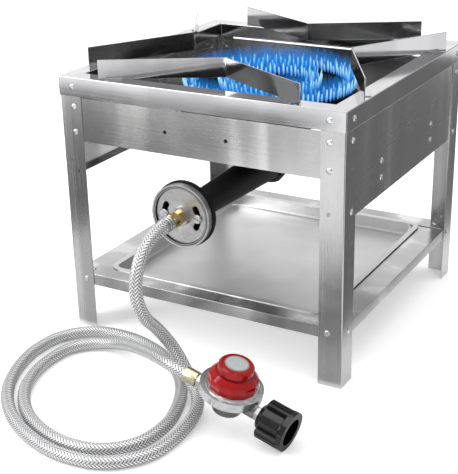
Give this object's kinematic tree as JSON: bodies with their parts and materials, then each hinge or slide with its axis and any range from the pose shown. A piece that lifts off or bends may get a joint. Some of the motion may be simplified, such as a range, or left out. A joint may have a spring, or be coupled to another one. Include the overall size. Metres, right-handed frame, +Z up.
{
  "type": "propane burner stove",
  "caption": "Square free-standing gas stove on angle legs with V-shaped pot supports, a ringed cast burner, drip tray, air shutter, braided hose and adjustable regulator.",
  "frame": {"origin": "on the floor under the middle of the stand", "axes": "+Z up, -Y towards the front with the air shutter and hose, +X to the right seen from the front"},
  "size_m": [0.4184, 0.7026, 0.381],
  "materials": {
    "bright_steel": "bright",
    "brushed_sheet": "brushed",
    "rivet_steel": "satin",
    "zinc_steel": "satin",
    "cast_iron": "rough black",
    "cast_aluminium": "cast",
    "brass": "satin",
    "braided_hose": "steel braid over rubber",
    "die_cast_zinc": "satin",
    "black_rubber": "matte",
    "red_plastic": "glossy",
    "pale_disc": "satin",
    "black_plastic": "satin"
  },
  "bodies": {
    "stand": {"top_frame": "bright_steel", "pot_support_front": "bright_steel", "pot_support_right": "bright_steel", "pot_support_back": "bright_steel", "pot_support_left": "bright_steel", "leg_front_left": "brushed_sheet", "leg_front_right": "brushed_sheet", "leg_back_left": "brushed_sheet", "leg_back_right": "brushed_sheet", "front_apron": "brushed_sheet", "shelf_rail_front": "brushed_sheet", "right_apron": "brushed_sheet", "shelf_rail_right": "brushed_sheet", "back_apron": "brushed_sheet", "shelf_rail_back": "brushed_sheet", "left_apron": "brushed_sheet", "shelf_rail_left": "brushed_sheet", "burner_bar_front": "brushed_sheet", "burner_bar_back": "brushed_sheet", "frame_rivets": "rivet_steel", "shelf_rivets": "rivet_steel", "bar_rivets": "rivet_steel", "burner_bolts": "zinc_steel", "shutter_screws": "zinc_steel", "burner_head": "cast_iron", "venturi_tube": "cast_iron", "orifice_fitting": "brass", "hose_swivel_nut": "brass", "outlet_nipple": "brass", "hose_ferrule_regulator": "brass", "inlet_nipple": "brass", "hose_ferrule_burner": "zinc_steel", "hose_lead": "braided_hose", "hose_loops": "braided_hose", "hose_tail": "braided_hose", "regulator_body": "die_cast_zinc", "regulator_bonnet": "die_cast_zinc", "clamp_ring": "die_cast_zinc", "diaphragm_plate": "zinc_steel", "adjusting_spring": "zinc_steel", "diaphragm": "black_rubber"},
    "air_shutter_body": {"air_shutter": "cast_aluminium"},
    "drip_tray_body": {"drip_tray": "brushed_sheet"},
    "knob_body": {"regulator_knob": "red_plastic", "knob_cap_disc": "pale_disc", "adjusting_stem": "zinc_steel"},
    "spring_nut_body": {"spring_nut": "zinc_steel"},
    "cylinder_nut_body": {"cylinder_nut": "black_plastic"}
  },
  "joints": [
    {"name": "air_shutter_turn", "type": "hinge", "parent": "stand", "child": "air_shutter_body", "pos_m": [0, -0.235, 0.209], "axis": [0, 1, 0], "range_deg": [-30, 30]},
    {"name": "drip_tray_lift", "type": "slide", "parent": "stand", "child": "drip_tray_body", "axis": [0, 0, 1], "range_m": [0, 0.045]},
    {"name": "knob_turn", "type": "hinge", "parent": "stand", "child": "knob_body", "pos_m": [0.1259, -0.3483, 0.0442], "axis": [0.2415, -0.0135, 0.9703], "range_deg": [-360, 360]},
    {"name": "spring_nut_slide", "type": "slide", "parent": "stand", "child": "spring_nut_body", "axis": [0.2415, -0.0135, 0.9703], "range_m": [-0.0016, 0.0016], "deforming": ["adjusting_spring"]},
    {"name": "cylinder_nut_spin", "type": "hinge", "parent": "stand", "child": "cylinder_nut_body", "pos_m": [0.1259, -0.3483, 0.0442], "axis": [0.9688, -0.0542, -0.2419], "continuous": true}
  ],
  "couplings": [
    {"joint": "spring_nut_slide", "follows": "knob_turn", "m_per_rad": -0.00023873}
  ]
}
